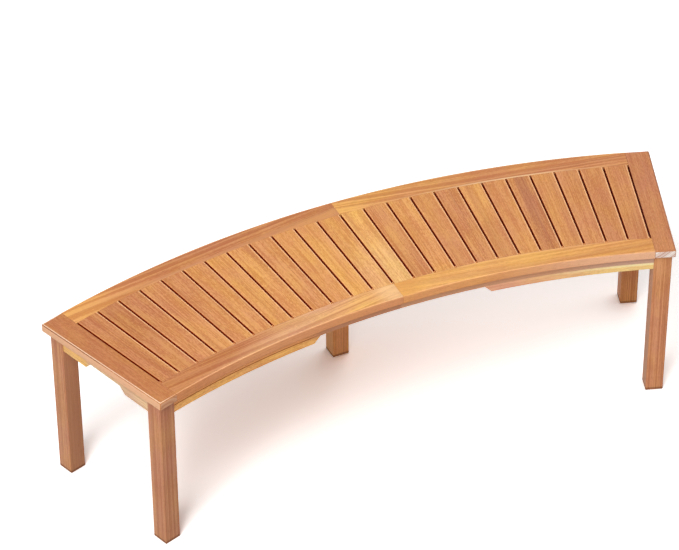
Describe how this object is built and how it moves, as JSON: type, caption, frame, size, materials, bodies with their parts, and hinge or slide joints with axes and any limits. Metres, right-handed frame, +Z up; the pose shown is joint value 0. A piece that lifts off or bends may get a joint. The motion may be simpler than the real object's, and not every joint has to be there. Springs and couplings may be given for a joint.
{
  "type": "curved garden bench",
  "caption": "Backless curved garden bench: tapered slats between arc-shaped rails and end boards, on square legs with shouldered aprons.",
  "frame": {"origin": "on the ground, under the middle of the seat's bounding box", "axes": "+X along the bench to its right end as seen from its concave side, +Y towards its convex side, +Z up"},
  "size_m": [1.6536, 0.5398, 0.45],
  "materials": {
    "slat_wood": "oiled hardwood, satin",
    "rail_wood": "oiled hardwood, satin",
    "end_board_wood": "oiled hardwood, satin",
    "leg_wood": "oiled hardwood, satin",
    "apron_wood": "oiled hardwood, satin",
    "frame_wood": "oiled hardwood, satin",
    "dowel_wood": "plain beech",
    "zinc_steel": "bright zinc plate"
  },
  "bodies": {
    "root": {"slat_01": "slat_wood", "slat_02": "slat_wood", "slat_03": "slat_wood", "slat_04": "slat_wood", "slat_05": "slat_wood", "slat_06": "slat_wood", "slat_07": "slat_wood", "slat_08": "slat_wood", "slat_09": "slat_wood", "slat_10": "slat_wood", "slat_11": "slat_wood", "slat_12": "slat_wood", "slat_13": "slat_wood", "slat_14": "slat_wood", "slat_15": "slat_wood", "slat_16": "slat_wood", "slat_17": "slat_wood", "slat_18": "slat_wood", "slat_19": "slat_wood", "slat_20": "slat_wood", "slat_21": "slat_wood", "slat_22": "slat_wood", "slat_23": "slat_wood", "slat_24": "slat_wood", "left_outer_rail": "rail_wood", "right_outer_rail": "rail_wood", "left_inner_rail": "rail_wood", "right_inner_rail": "rail_wood", "left_end_board": "end_board_wood", "right_end_board": "end_board_wood", "left_inner_leg": "leg_wood", "right_inner_leg": "leg_wood", "left_outer_leg": "leg_wood", "right_outer_leg": "leg_wood", "middle_leg": "leg_wood", "left_inner_apron": "apron_wood", "right_inner_apron": "apron_wood", "left_outer_apron": "apron_wood", "right_outer_apron": "apron_wood", "left_end_apron": "apron_wood", "right_end_apron": "apron_wood", "centre_stretcher": "frame_wood", "inner_splice": "frame_wood", "left_inner_corner_block": "frame_wood", "right_inner_corner_block": "frame_wood", "left_outer_corner_block": "frame_wood", "right_outer_corner_block": "frame_wood", "rail_dowels": "dowel_wood", "apron_dowels": "dowel_wood", "stretcher_dowels": "dowel_wood", "seat_screws": "zinc_steel", "splice_screws": "zinc_steel", "hanger_bolts": "zinc_steel", "bolt_washers": "zinc_steel", "bolt_nuts": "zinc_steel"}
  },
  "joints": []
}
